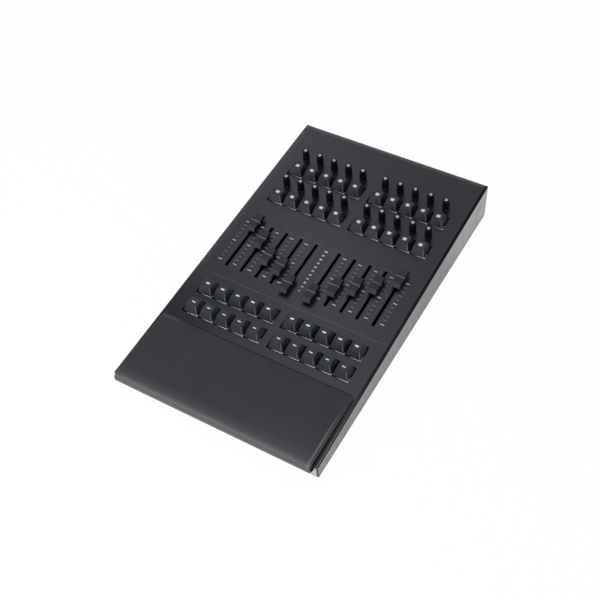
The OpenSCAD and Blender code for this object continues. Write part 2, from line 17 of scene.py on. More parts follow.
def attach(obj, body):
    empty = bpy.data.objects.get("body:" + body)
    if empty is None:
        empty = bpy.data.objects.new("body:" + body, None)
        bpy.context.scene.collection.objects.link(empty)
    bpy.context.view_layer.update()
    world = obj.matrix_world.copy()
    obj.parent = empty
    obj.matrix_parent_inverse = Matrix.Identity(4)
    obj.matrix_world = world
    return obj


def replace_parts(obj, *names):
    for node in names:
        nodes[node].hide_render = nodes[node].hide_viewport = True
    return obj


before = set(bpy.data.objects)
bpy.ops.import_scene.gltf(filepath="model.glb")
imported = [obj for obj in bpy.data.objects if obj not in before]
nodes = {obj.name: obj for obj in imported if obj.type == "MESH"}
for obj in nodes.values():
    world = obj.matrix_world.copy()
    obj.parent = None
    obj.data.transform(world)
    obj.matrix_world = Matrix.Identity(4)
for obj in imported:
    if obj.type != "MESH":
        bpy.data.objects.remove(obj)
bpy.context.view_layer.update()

# %% [markdown]
# The controls sit on a plane that slopes down to the front. It is easiest to model each control
# flat, about the origin and in millimetres, and to move the finished mesh onto the slope with one
# matrix. U runs to the right, V up the slope from the back edge, and W square out of the panel.

# %% The sloping panel's own frame
MM = 0.001
CASE_WIDTH, CASE_LENGTH, REAR_DEPTH, FRONT_DEPTH = 239.85, 406.2, 48.6, 18.8
BACK_Y, BACK_Z = 204.635, 52.4697
SLOPE = math.atan((REAR_DEPTH - FRONT_DEPTH) / CASE_LENGTH)
METRES = Matrix.Diagonal((MM, MM, MM, 1))
PANEL = METRES @ Matrix.Translation((0, BACK_Y, BACK_Z)) @ Matrix.Rotation(SLOPE, 4, "X")

PITCH, GROUP_GAP, GROUP = 19.05, 29.05, 5
COLUMNS = [-GROUP_GAP / 2 - PITCH * i for i in reversed(range(GROUP))]
COLUMNS += [GROUP_GAP / 2 + PITCH * i for i in range(GROUP)]
KEY_ROWS = (-74.5, -121.1, -271.6, -299.5)
KNOB_ROWS = (-53.4, -100.0)
print("slope in degrees:", round(math.degrees(SLOPE), 3), "columns:", len(COLUMNS))

# %% [markdown]
# The camera looks down on the desk from the front right. Its place and lens were worked out from
# the even grid of the controls, which fixes the view far better than judging it by eye.
# A camera's matrix is built from three directions: right, up and backwards. The grid was measured
# at the middles of the pixels, so the lens is shifted by half a pixel.

# %% Camera
SENSOR, LENS, PIXELS = 36, 58.58, 600
EYE = Vector((19.193, -39.787, 43.653))
RIGHT = Vector((0.86779384, 0.49226908, -0.06786012))
AHEAD = Vector((-0.34365716, 0.49587751, -0.79749938))

camera = bpy.data.objects.new("camera", bpy.data.cameras.new("camera"))
bpy.context.scene.collection.objects.link(camera)
camera.data.sensor_width, camera.data.lens = SENSOR, LENS
camera.data.shift_x, camera.data.shift_y = -0.5 / PIXELS, 0.5 / PIXELS
eye = PANEL @ (PITCH * EYE)
tilt = Matrix.Rotation(SLOPE, 3, "X")
right, ahead = tilt @ RIGHT, tilt @ AHEAD
up = right.cross(ahead)
camera.matrix_world = Matrix.Translation(eye) @ Matrix((right, up, -ahead)).transposed().to_4x4()
bpy.context.scene.camera = camera
print("camera at", [round(x, 3) for x in eye])

# %% [markdown]
# Shader graphs are easier to read as sums than as boxes and wires. Wire wraps one output socket, so
# that adding or multiplying it makes the Math node. Its masks rise from 0 to 1 between two values:
# "over" is 1 above them and "under" is 1 below them. Graph adds any other kind of node, and Finish is
# the graph of one material. What is the same all over a surface is set on the shader's own sockets.

# %% A small language for materials
class Wire:
    def __init__(self, graph, socket):
        self.graph, self.socket = graph, socket

    def maths(self, operation, other, swapped=False):
        pair = (other, self) if swapped else (self, other)
        return self.graph.node("Math", {"operation": operation}, {0: pair[0], 1: pair[1]})

    def __add__(self, other):
        return self.maths("ADD", other)

    def __sub__(self, other):
        return self.maths("SUBTRACT", other)

    def __rsub__(self, other):
        return self.maths("SUBTRACT", other, swapped=True)

    def __mul__(self, other):
        return self.maths("MULTIPLY", other)

    __radd__, __rmul__ = __add__, __mul__

    def over(self, low, high):
        return self.graph.node("MapRange", {"interpolation_type": "SMOOTHSTEP"},
                               {"Value": self, "From Min": low, "From Max": high})

    def under(self, low, high):
        return 1.0 - self.over(low, high)


class Graph:
    def __init__(self, tree):
        self.tree = tree

    def feed(self, socket, value):
        if isinstance(value, Wire):
            self.tree.links.new(value.socket, socket)
        else:
            socket.default_value = value

    def node(self, kind, settings=(), inputs=(), output=0):
        made = self.tree.nodes.new("ShaderNode" + kind)
        for setting, value in dict(settings).items():
            setattr(made, setting, value)
        for socket, value in dict(inputs).items():
            self.feed(made.inputs[socket], value)
        return Wire(self, made.outputs[output])


class Finish(Graph):
    def __init__(self, name, constants=()):
        self.material = bpy.data.materials.new(name)
        self.material.use_nodes = True
        super().__init__(self.material.node_tree)
        self.shader = self.tree.nodes["Principled BSDF"]
        self.top = Wire(self, self.shader.outputs[0])
        for socket, value in dict(constants).items():
            self.set(socket, value)

    def set(self, socket, value):
        self.feed(self.shader.inputs[socket], value)

    def place(self, stretch=(1, 1, 1)):
        spot = self.node("TexCoord", output="Object")
        return self.node("Mapping", {}, {"Vector": spot, "Scale": stretch})

    def noise(self, scale, stretch=(1, 1, 1), detail=4.0):
        sockets = {"Vector": self.place(stretch), "Scale": scale, "Detail": detail}
        return self.node("TexNoise", {}, sockets)

    def pebbles(self, scale):
        return self.node("TexVoronoi", {"feature": "SMOOTH_F1"},
                         {"Vector": self.place(), "Scale": scale, "Smoothness": 0.6})

    def blend(self, mask, dark, light, mode="MIX"):
        sockets = {"Factor": mask, 6: dark, 7: light}
        return self.node("Mix", {"data_type": "RGBA", "blend_type": mode}, sockets, output=2)

    def bump(self, height, depth):
        sockets = {"Height": height, "Distance": depth, "Strength": 1.0}
        self.set("Normal", self.node("Bump", {}, sockets))

    def axis(self, letter):
        return self.node("SeparateXYZ", {}, {0: self.node("TexCoord", output="Object")}, output=letter)

    def along_panel(self, up_slope, square):
        y, z = self.axis("Y"), self.axis("Z")
        across_y = up_slope * math.cos(SLOPE) - square * math.sin(SLOPE)
        across_z = up_slope * math.sin(SLOPE) + square * math.cos(SLOPE)
        return y * across_y + z * across_z - MM * (BACK_Y * across_y + BACK_Z * across_z)

    def tinted(self, mask, other, mode="MIX"):
        base = Wire(self, self.shader.inputs["Base Color"].links[0].from_socket)
        self.set("Base Color", self.blend(mask, base, other, mode))

    def mixed(self, mask, lower, upper):
        self.top = self.node("MixShader", {}, {0: mask, 1: lower, 2: upper})
        self.feed(self.tree.nodes["Material Output"].inputs["Surface"], self.top)

    def backed(self, mask, constants):
        self.mixed(mask, self.node("BsdfPrincipled", {}, constants), self.top)


def colour(red, green, blue):
    return (red, green, blue, 1.0)


WHITE = colour(1.0, 1.0, 1.0)

# %% [markdown]
# Most finishes here share one recipe: a slow cloud changes the colour a little, a fine grain changes
# the gloss, and the same grain lifts the surface by a few hundredths of a millimetre. Paint and
# plastic take a round grain, drawn metal a stretched one, and soft rubber a pebbled one.

# %% The shared recipe
SHINE, LAMP, LAMP_POWER = "Specular IOR Level", "Emission Color", "Emission Strength"
CLOUD, MOTTLE = 38, (0.3, 0.7)


def surface(name, dark, light, gloss, grain, depth, stretch=(1, 1, 1), pebbled=False, clouded=0.65,
            metal=0.0, shine=0.5, constants=()):
    finish = Finish(name, {"Metallic": metal, SHINE: shine, **dict(constants)})
    cloud = finish.noise(CLOUD, detail=3.0)
    fine = finish.pebbles(grain) if pebbled else finish.noise(grain, stretch)
    mottle = (cloud * clouded + fine * (1.0 - clouded)).over(*MOTTLE)
    finish.set("Base Color", finish.blend(mottle, colour(*dark), colour(*light)))
    finish.set("Roughness", gloss[0] + (gloss[1] - gloss[0]) * fine)
    finish.bump(fine, depth * MM)
    return finish


# %% Finishes of the case
panel_paint = surface("panel_paint", (0.0024, 0.0022, 0.0032), (0.0044, 0.0041, 0.0056), (0.26, 0.38),
                      1500, 0.01, shine=0.54, constants={"Specular Tint": colour(0.87, 0.845, 1.0)})
tray_paint = surface("tray_paint", (0.235, 0.23, 0.242), (0.485, 0.477, 0.497), (0.36, 0.54), 850, 0.06,
                     stretch=(1, 1, 0.08), clouded=0.2, metal=0.15)
apron_metal = surface("apron_metal", (0.37, 0.375, 0.38), (0.47, 0.475, 0.48), (0.3, 0.46), 900, 0.02,
                      stretch=(0.04, 1, 1), metal=0.3)
pad_rubber = surface("pad_rubber", (0.0115, 0.0125, 0.016), (0.0165, 0.0175, 0.022), (0.42, 0.6), 900,
                     0.06, pebbled=True, shine=0.3)
foot_rubber = surface("foot_rubber", (0.012, 0.012, 0.012), (0.022, 0.022, 0.022), (0.6, 0.85), 1100,
                      0.08, pebbled=True)
screw_steel = surface("screw_steel", (0.42, 0.42, 0.43), (0.58, 0.58, 0.59), (0.26, 0.42), 1400, 0.02,
                      metal=0.9)
socket_steel = surface("socket_steel", (0.55, 0.55, 0.56), (0.7, 0.7, 0.71), (0.24, 0.4), 900, 0.02,
                       stretch=(1, 0.05, 1), metal=0.9)
contact_gold = surface("contact_gold", (0.72, 0.5, 0.16), (0.86, 0.63, 0.25), (0.2, 0.34), 900, 0.01,
                       metal=1.0)
socket_plastic = surface("socket_plastic", (0.014, 0.014, 0.015), (0.026, 0.026, 0.028), (0.4, 0.6),
                         1200, 0.03)

# %% Finishes of the controls
CAP_DARK, CAP_LIGHT = (0.016, 0.0195, 0.025), (0.0232, 0.0272, 0.033)
key_plastic = surface("key_plastic", CAP_DARK, CAP_LIGHT, (0.34, 0.48), 1700, 0.02, shine=0.26)
key_glow = surface("key_glow", CAP_DARK, CAP_LIGHT, (0.34, 0.48), 1700, 0.02, shine=0.26)
# A paler copy of the cap plastic for the right sides of the front rows: painted light.
key_side_light = surface("key_side_light", (0.033, 0.04, 0.05), (0.045, 0.054, 0.066), (0.36, 0.5), 1700, 0.02,
                   shine=0.26)
fader_plastic = surface("fader_plastic", (0.0192, 0.023, 0.029), (0.026, 0.031, 0.0385), (0.36, 0.5),
                        1700, 0.03, shine=0.12)
# Darker copies of the fader plastic for its front and sides: painted shade.
fader_front_shade = surface("fader_front_shade", (0.0148, 0.0179, 0.0226), (0.0205, 0.0244, 0.0305), (0.36, 0.5),
                      1700, 0.03, shine=0.12)
fader_side_shade = surface("fader_side_shade", (0.0065, 0.008, 0.01), (0.0095, 0.0115, 0.014), (0.45, 0.6), 1700,
                     0.03, shine=0.06)
knob_plastic = surface("knob_plastic", (0.0015, 0.002, 0.0032), (0.003, 0.0036, 0.0052), (0.36, 0.5),
                       1900, 0.02, shine=0.1)
lens_milk = surface("lens_milk", (0.29, 0.29, 0.303), (0.38, 0.38, 0.394), (0.3, 0.42), 1500, 0.01)
print_white = surface("print_white", (0.55, 0.55, 0.56), (0.7, 0.7, 0.71), (0.5, 0.62), 2600, 0.01)
print_grey = surface("print_grey", (0.2, 0.2, 0.21), (0.28, 0.28, 0.29), (0.5, 0.62), 2600, 0.01)
print_faint = surface("print_faint", (0.06, 0.06, 0.064), (0.1, 0.1, 0.105), (0.5, 0.62), 2600, 0.01)
pointer_grey = surface("pointer_grey", (0.22, 0.23, 0.24), (0.3, 0.31, 0.325), (0.4, 0.55), 2600, 0.01)
# A paler finish for the caps' right front corners: painted highlight.
key_edge_highlight = surface("key_edge_highlight", (0.11, 0.115, 0.123), (0.145, 0.15, 0.16), (0.3, 0.42), 1700, 0.02,
                   shine=0.3)
light_bar = surface("light_bar", (0.8, 0.81, 0.81), (0.92, 0.93, 0.93), (0.25, 0.4), 1500, 0.01)
# Near black for the key frames: painted shade in the narrow gaps between the caps.
frame_shade_black = surface("frame_shade_black", (0.0015, 0.0015, 0.002), (0.003, 0.003, 0.0038), (0.5, 0.65), 1500,
                      0.02, shine=0.05)
window_warm = surface("window_warm", (0.46, 0.42, 0.42), (0.59, 0.545, 0.545), (0.3, 0.45), 1500, 0.01,
                      constants={LAMP: colour(1.0, 0.9, 0.88), LAMP_POWER: 0.05})
window_white = surface("window_white", (0.52, 0.52, 0.515), (0.66, 0.66, 0.655), (0.3, 0.45), 1500,
                       0.01, constants={LAMP: colour(1.0, 1.0, 0.98), LAMP_POWER: 0.05})

# %% Finishes inside the case
board_mask = surface("board_mask", (0.012, 0.07, 0.03), (0.02, 0.11, 0.05), (0.3, 0.5), 700, 0.02)
standoff_brass = surface("standoff_brass", (0.6, 0.42, 0.16), (0.74, 0.55, 0.25), (0.26, 0.4), 900,
                         0.02, metal=0.95)
housing_steel = surface("housing_steel", (0.42, 0.42, 0.44), (0.56, 0.56, 0.58), (0.3, 0.46), 900, 0.02,
                        stretch=(1, 0.05, 1), metal=0.85)
switch_plastic = surface("switch_plastic", (0.012, 0.012, 0.014), (0.022, 0.022, 0.024), (0.45, 0.62),
                         1500, 0.03)
# Near black for the fader housings: painted shade seen through the slots.
housing_shade_black = surface("housing_shade_black", (0.0015, 0.0015, 0.0018), (0.003, 0.003, 0.0034), (0.7, 0.9), 1500,
                     0.03, shine=0.05)
print("finishes made:", len([m for m in bpy.data.materials if m.use_nodes]))

# %% [markdown]
# The panel's right edge and the walls of its slots get painted shade: there a second, shineless
# black shader takes over, and along the edge it gets weaker towards the front. Masks mark such
# places, by the distance to the middle line, the way up the slope and the height above the panel, in
# metres. Towards the front a thin pale line along the right edge is a painted highlight. The back
# edge gets a painted highlight, the left edge a painted sheen and the ledge beside the wrist rest
# painted light, and the left front corner gets painted shade. Below the rounding the cut face of the
# plate is grey like the tray.

# %% Painted light and shade, and cut faces of the panel
SHADE_BLACK = {"Base Color": colour(0.003, 0.003, 0.0035), "Roughness": 0.85, SHINE: 0.04}
CUT_GREY_AND_GLINT = {"Base Color": colour(0.26, 0.26, 0.265), "Roughness": 0.45}
BACK_RIM, BACK_RIM_SHARE = (-0.007, -0.003), 0.8
LEFT_RIM, LEFT_RIM_FRONT = (-0.1165, -0.1095), (-0.27, -0.23)
LEDGE_INNER, LEDGE_OUTER, LEDGE_BACK = (0.1140, 0.1148), (0.1158, 0.1166), (-0.345, -0.325)
EDGE_SIDE, EDGE_MIDDLE, EDGE_BACK = (0.1164, 0.1172), (-0.36, -0.32), (-0.26, -0.1)
FRONT_SHARE, MIDDLE_SHARE, BACK_SHARE = 0.55, 0.2, 0.18
SLOT_DEPTH, BACK_LIP = (-0.9 * MM, -0.6 * MM), (-0.012, -0.008)
SHADED_CORNER_SIDE, SHADED_CORNER_FRONT, SHADED_CORNER_SHARE = (-0.115, -0.02), (-0.32, -0.24), 0.4
GLINT_INNER, GLINT_OUTER, GLINT_FRONT, GLINT_SHARE = (0.1176, 0.1180), (0.1187, 0.1190), (-0.405, -0.285), 0.52
CUT_SIDE, CUT_DEPTH = (0.1196, 0.1198), (-1.4 * MM, -1.1 * MM)

across = panel_paint.axis("X")
height, up_slope = panel_paint.along_panel(0, 1), panel_paint.along_panel(1, 0)
# Painted highlight on the back edge, painted sheen on the left edge, painted light on the ledge.
panel_paint.tinted(up_slope.over(*BACK_RIM) * BACK_RIM_SHARE, colour(0.06, 0.059, 0.063))
left_rim = across.under(*LEFT_RIM) * up_slope.over(*LEFT_RIM_FRONT)
panel_paint.tinted(left_rim, colour(0.015, 0.0145, 0.018))
ledge = across.over(*LEDGE_INNER) * across.under(*LEDGE_OUTER) * up_slope.under(*LEDGE_BACK)
panel_paint.tinted(ledge, colour(0.045, 0.045, 0.049))
# Painted shade: the right edge, the slot walls and the left front part go black.
black_share = FRONT_SHARE + MIDDLE_SHARE * up_slope.over(*EDGE_MIDDLE)
side_edge = across.over(*EDGE_SIDE) * (black_share + BACK_SHARE * up_slope.over(*EDGE_BACK))
slot_wall = height.under(*SLOT_DEPTH) * up_slope.under(*BACK_LIP)
corner_shade = across.under(*SHADED_CORNER_SIDE) * up_slope.under(*SHADED_CORNER_FRONT) * SHADED_CORNER_SHARE
panel_paint.backed(1.0 - side_edge.maths("MAXIMUM", slot_wall).maths("MAXIMUM", corner_shade), SHADE_BLACK)
# A thin painted highlight along the front of the right edge.
edge_glint = across.over(*GLINT_INNER) * across.under(*GLINT_OUTER) * up_slope.under(*GLINT_FRONT) * GLINT_SHARE
panel_paint.backed(1.0 - edge_glint, CUT_GREY_AND_GLINT)
cut_face = across.maths("ABSOLUTE", 0.0).over(*CUT_SIDE) * height.under(*CUT_DEPTH)
panel_paint.backed(1.0 - cut_face, CUT_GREY_AND_GLINT)

# %% [markdown]
# The tray is folded from sheet metal, and the cut ends of its side walls are dark. Its colour is
# multiplied darker towards the front: painted shade.

# %% Cut ends and painted shade of the tray
CUT_END = {"Base Color": colour(0.036, 0.037, 0.04), "Roughness": 0.6}
END_SLOPE, END_SIDE = ((0.5 - CASE_LENGTH) * MM, (0.9 - CASE_LENGTH) * MM), (0.1166, 0.1170)
SHADE_SLOPE, SHADE = (-0.14, -0.04), colour(0.64, 0.64, 0.64)

up_tray, beside = tray_paint.along_panel(1, 0), tray_paint.axis("X").maths("ABSOLUTE", 0.0)
tray_paint.backed(1.0 - up_tray.under(*END_SLOPE) * beside.over(*END_SIDE), CUT_END)
# Painted shade towards the front of the tray.
tray_paint.tinted(up_tray.under(*SHADE_SLOPE), SHADE, mode="MULTIPLY")

# %% [markdown]
# The wrist rest gets painted light: towards the right front, along the front roll, along the front
# half of its right edge and wall, and on the nose, where the edge, roll and nose carry painted
# highlights. Its left back corner gets a painted highlight too, and painted shade runs along its back
# edge, except at the left end.

# %% Painted light and shade on the wrist rest
LIT_FRONT, LIT_SIDE, LIT_SHARE = (-0.410, -0.365), (-0.02, 0.10), 0.35
ROLL = (-0.4160, -0.3940)
RIM_INNER, RIM_OUTER, RIM_FRONT = (0.1100, 0.1112), (0.1120, 0.1132), (-0.385, -0.330)
WALL_SIDE, WALL_FRONT = (0.1134, 0.1144), (-0.36, -0.33)
NOSE_HEIGHT, NOSE_FRONT = (-0.001, 0.004), (-0.412, -0.406)
CORNER_BACK, CORNER_SIDE, CORNER_SHARE = (-0.329, -0.323), (-0.102, -0.086), 0.8
SHADE_LINE_BACK, SHADE_LINE_SIDE, SHADE_LINE_SHARE = (-0.3232, -0.3220), (-0.10, -0.08), 0.75

pad_side = pad_rubber.axis("X")
up_pad, over_pad = pad_rubber.along_panel(1, 0), pad_rubber.along_panel(0, 1)
rim = pad_side.over(*RIM_INNER) * pad_side.under(*RIM_OUTER) * up_pad.under(*RIM_FRONT)
# Painted light and painted highlights on the pad, each with its mask and colour.
PAINTED_LIGHT = (
    (up_pad.under(*LIT_FRONT) * pad_side.over(*LIT_SIDE) * LIT_SHARE, (0.04, 0.041, 0.045)),
    (up_pad.under(*ROLL), (0.051, 0.052, 0.057)),
    (rim, (0.092, 0.094, 0.099)),
    (pad_side.over(*WALL_SIDE) * up_pad.under(*WALL_FRONT), (0.042, 0.043, 0.047)),
    (over_pad.under(*NOSE_HEIGHT) * up_pad.under(*NOSE_FRONT), (0.086, 0.087, 0.092)),
    (up_pad.over(*CORNER_BACK) * pad_side.under(*CORNER_SIDE) * CORNER_SHARE, (0.036, 0.037, 0.04)))
for mask, tint in PAINTED_LIGHT:
    pad_rubber.tinted(mask, colour(*tint))
# Painted shade along the back edge of the pad.
pad_rubber.backed(1.0 - up_pad.over(*SHADE_LINE_BACK) * pad_side.over(*SHADE_LINE_SIDE) * SHADE_LINE_SHARE, SHADE_BLACK)

# %% [markdown]
# The first two rows of keys glow a little round their windows, because some light leaks through the
# plastic. The caps carry a UV map of their own plan, so the glow stays on its cap wherever it sits.
# The light guides carry such a map too: they are dim where they start and bright where they end.

# %% Glow of the keys and guides
GLOW_CENTRE, GLOW_REACH, GLOW_SHARE = (0.5, 0.545, 0.0), (0.1, 0.36), 0.9
GUIDE_RISE, GUIDE_POWER = (0.0, 0.5), 0.12

plan = key_glow.node("UVMap", {"uv_map": "cap_plan"})
reach = key_glow.node("VectorMath", {"operation": "DISTANCE"}, {0: plan, 1: GLOW_CENTRE},
                      output="Value")
key_glow.tinted(reach.under(*GLOW_REACH) * GLOW_SHARE, colour(0.036, 0.017, 0.014))
guide_plan = light_bar.node("UVMap", {"uv_map": "guide_run"})
dim = light_bar.node("SeparateXYZ", {}, {0: guide_plan}, output="X").under(*GUIDE_RISE)
light_bar.tinted(dim, colour(0.13, 0.14, 0.14))
light_bar.set(LAMP, light_bar.blend(dim, WHITE, colour(0.0, 0.0, 0.0)))
light_bar.set(LAMP_POWER, GUIDE_POWER)

# %% [markdown]
# These helpers do what a hand does in Blender: start a primitive, go into edit mode, pick faces or
# points by their place, cut, and apply a modifier. Everything is deselected first, because an
# operator acts on all that is selected.

# %% Helpers for modelling by hand
NEAR = 0.01


def deselect():
    bpy.ops.object.select_all(action="DESELECT")


def alone(obj):
    deselect()
    obj.select_set(True)
    bpy.context.view_layer.objects.active = obj


def smooth(obj, angle=38.0):
    alone(obj)
    bpy.ops.object.shade_smooth_by_angle(angle=math.radians(angle))


def block(name, size, centre):
    deselect()
    bpy.ops.mesh.primitive_cube_add(size=1, location=centre)
    made = bpy.context.object
    made.name, made.scale = name, size
    bpy.ops.object.transform_apply(location=True, rotation=True, scale=True)
    return made


@contextmanager
def editing(obj):
    alone(obj)
    bpy.ops.object.mode_set(mode="EDIT")
    bpy.ops.mesh.select_all(action="SELECT")
    yield
    bpy.ops.object.mode_set(mode="OBJECT")


@contextmanager
def raw_mesh():
    mesh = bmesh.from_edit_mesh(bpy.context.edit_object.data)
    yield mesh
    bmesh.update_edit_mesh(bpy.context.edit_object.data)


def choose(kind, test):
    bpy.ops.mesh.select_mode(type=kind)
    bpy.ops.mesh.select_all(action="DESELECT")
    with raw_mesh() as mesh:
        for part in {"VERT": mesh.verts, "EDGE": mesh.edges, "FACE": mesh.faces}[kind]:
            part.select_set(bool(test(part)))
        mesh.select_flush_mode()


def slice_all(point, normal):
    bpy.ops.mesh.select_mode(type="FACE")
    bpy.ops.mesh.select_all(action="SELECT")
    bpy.ops.mesh.bisect(plane_co=point, plane_no=normal)


def modify(obj, kind, **settings):
    alone(obj)
    modifier = obj.modifiers.new(kind.lower(), kind)
    for setting, value in settings.items():
        setattr(modifier, setting, value)
    bpy.ops.object.modifier_apply(modifier=modifier.name)


def soften(obj, width, segments=3, angle=35.0):
    modify(obj, "BEVEL", width=width, segments=segments, limit_method="ANGLE",
           angle_limit=math.radians(angle))
    smooth(obj)
    modify(obj, "WEIGHTED_NORMAL", keep_sharp=True)


def wear(obj, finish):
    obj.data.materials.clear()
    obj.data.materials.append(finish.material)
    return obj


def gather(name, parts):
    deselect()
    for part in parts:
        part.select_set(True)
    bpy.context.view_layer.objects.active = parts[0]
    if len(parts) > 1:
        bpy.ops.object.join()
    parts[0].name = parts[0].data.name = name
    return parts[0]


def copy_at(pattern, matrix):
    made = pattern.copy()
    made.data = pattern.data.copy()
    bpy.context.scene.collection.objects.link(made)
    made.data.transform(matrix)
    return made


def on_panel(u, v, w=0.0):
    return PANEL @ Matrix.Translation((u, v, w))


def on_table(x, y, z):
    return METRES @ Matrix.Translation((x, y, z))


def discard(*patterns):
    for pattern in patterns:
        bpy.data.objects.remove(pattern)


def lathe(name, profile, sides=48):
    radius, height = profile[0]
    deselect()
    bpy.ops.mesh.primitive_circle_add(vertices=sides, radius=radius, fill_type="NGON",
                                      location=(0, 0, height))
    made = bpy.context.object
    made.name = name
    bpy.ops.object.transform_apply(location=True, rotation=True, scale=True)
    with editing(made):
        for next_radius, next_height in profile[1:]:
            bpy.ops.mesh.extrude_region_move(
                TRANSFORM_OT_translate={"value": (0, 0, next_height - height)})
            share = next_radius / radius
            bpy.ops.transform.resize(value=(share, share, 1), center_override=(0, 0, next_height))
            radius, height = next_radius, next_height
        bpy.ops.mesh.select_all(action="SELECT")
        bpy.ops.mesh.normals_make_consistent(inside=False)
    smooth(made)
    return made


# %% [markdown]
# A part of the engineering model whose shape is right keeps its mesh and only gets its finish.

# %% Finishes on the parts that stay
KEPT = {"base_tray": tray_paint, "front_apron": apron_metal, "top_panel": panel_paint,
        "circuit_boards": board_mask, "board_standoffs": standoff_brass,
        "fader_housings": housing_shade_black, "encoder_housings": housing_steel,
        "key_switches": switch_plastic, "key_light_frames": frame_shade_black}
for name, finish in KEPT.items():
    wear(nodes[name], finish)
print("parts kept as they are:", len(KEPT))

# %% [markdown]
# A key cap is a shell: a straight skirt, sloping sides that lean back, and a finger dish across the
# top. It starts as a block without a floor, with its upright corners rounded. Cuts along it give the
# dish its points, Solidify makes the wall, and a bevel rounds what a mould would round. The right
# front corner catches a thin line of light, so its paler finish is a painted highlight, and the right
# sides of the front rows get a paler finish than their tops as painted light. The window is a small
# plate on the dish.

# %% Key caps
KEY, KEY_HEIGHT, SKIRT, KEY_WALL, KEY_CORNER = 16.65, 8.4, 1.0, 1.5, 1.25
TAPER_SIDE, TAPER_FRONT, TAPER_BACK = 2.4, 3.4, 1.9
DISH_RADIUS, DISH_HALF, KEY_ROUNDING = 22.0, 5.225, 0.45
WINDOW_THICK, WINDOW_SUNK, WINDOW_LIFT = 0.6, 0.7, 0.05
STEM_DIAMETER, STEM_END = 5.5, -4.3
TOP_LEAN = (TAPER_FRONT - TAPER_BACK) / 2
DISH_CUTS = (-1.0, -0.78, -0.52, -0.26, 0.0, 0.26, 0.52, 0.78, 1.0)


def dish(x):
    if abs(x) >= DISH_HALF:
        return KEY_HEIGHT
    return KEY_HEIGHT - math.sqrt(DISH_RADIUS**2 - x * x) + math.sqrt(DISH_RADIUS**2 - DISH_HALF**2)


def sink(lowest, lift):
    with raw_mesh() as mesh:
        for vertex in mesh.verts:
            if vertex.co.z > lowest:
                vertex.co.z = dish(vertex.co.x) + lift


def key_shell(finish, side_finish):
    narrow = (KEY - 2 * TAPER_SIDE) / KEY
    shallow = (KEY - TAPER_FRONT - TAPER_BACK) / KEY
    shell = block("key_shell", (KEY, KEY, KEY_HEIGHT + SKIRT), (0, 0, (KEY_HEIGHT - SKIRT) / 2))
    with editing(shell):
        choose("FACE", lambda face: face.normal.z < -0.5)
        bpy.ops.mesh.delete(type="FACE")
        choose("EDGE", lambda rim: abs(rim.verts[0].co.z - rim.verts[1].co.z) > 1)
        bpy.ops.mesh.bevel(offset=KEY_CORNER, segments=4)
        slice_all((0, 0, 0), (0, 0, 1))
        for share in DISH_CUTS:
            slice_all((share * DISH_HALF / narrow, 0, 0), (1, 0, 0))
        choose("VERT", lambda vertex: vertex.co.z > KEY_HEIGHT - NEAR)
        bpy.ops.transform.resize(value=(narrow, shallow, 1), center_override=(0, 0, KEY_HEIGHT))
        bpy.ops.transform.translate(value=(0, TOP_LEAN, 0))
        sink(KEY_HEIGHT - NEAR, 0.0)
    modify(shell, "SOLIDIFY", thickness=KEY_WALL, offset=-1, use_even_offset=True)
    soften(shell, KEY_ROUNDING)
    for each in (finish, key_edge_highlight, side_finish):
        shell.data.materials.append(each.material)
    # Paler right front corners are a painted highlight; paler right sides are painted light.
    for face in shell.data.polygons:
        if face.normal.x > 0.3 and face.normal.y < -0.3 and face.center.z > 0.4:
            face.material_index = 1
        elif face.normal.x > 0.7:
            face.material_index = 2
    stem = lathe("key_stem", [(STEM_DIAMETER / 2 - 0.3, STEM_END), (STEM_DIAMETER / 2, STEM_END + 0.3),
                              (STEM_DIAMETER / 2, KEY_HEIGHT - KEY_WALL)], sides=24)
    return gather("key_shell", [shell, wear(stem, finish)])


def key_window(width, depth, v, finish):
    plate = block("key_window", (width, depth, WINDOW_THICK), (0, v, KEY_HEIGHT - WINDOW_SUNK))
    with editing(plate):
        for share in (-0.25, 0.0, 0.25):
            slice_all((share * width, 0, 0), (1, 0, 0))
        sink(KEY_HEIGHT - WINDOW_SUNK, WINDOW_LIFT)
    soften(plate, 0.12, segments=2)
    return wear(plate, finish)


def map_flat(piece, name, place):
    layer = piece.data.uv_layers.new(name=name)
    for loop in piece.data.loops:
        layer.data[loop.index].uv = place(piece.data.vertices[loop.vertex_index].co)
    return piece


def key_cap(name, finishes, window):
    cap = gather(name, [key_shell(*finishes), key_window(*window)])
    return map_flat(cap, "cap_plan", lambda point: (point.x / KEY + 0.5, point.y / KEY + 0.5))


WINDOWS = ((4.3, 3.9, 0.8, window_warm), (4.3, 3.9, 0.8, window_warm),
           (4.1, 2.0, 1.3, window_white), (4.1, 1.2, 1.2, window_white))
CAP_FINISHES = ((key_glow, key_glow),) * 2 + ((key_plastic, key_side_light),) * 2
patterns = [key_cap(f"key_pattern_{row + 1}", CAP_FINISHES[row], window)
            for row, window in enumerate(WINDOWS)]
for row, pattern in enumerate(patterns[:3]):
    for side, columns in (("left", COLUMNS[:GROUP]), ("right", COLUMNS[GROUP:])):
        node = f"key_bank_row{row + 1}_{side}"
        caps = [copy_at(pattern, on_panel(u, KEY_ROWS[row])) for u in columns]
        bank = gather(f"key_caps_row{row + 1}_{side}", caps)
        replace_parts(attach(bank, node), node)
for index, u in enumerate(COLUMNS):
    node = f"key_row4_{index + 1:02d}"
    cap = copy_at(patterns[3], on_panel(u, KEY_ROWS[3]))
    cap.name = cap.data.name = f"key_cap_row4_{index + 1:02d}"
    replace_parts(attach(cap, node), node)
print("faces of one key cap:", len(patterns[0].data.polygons))
discard(*patterns)

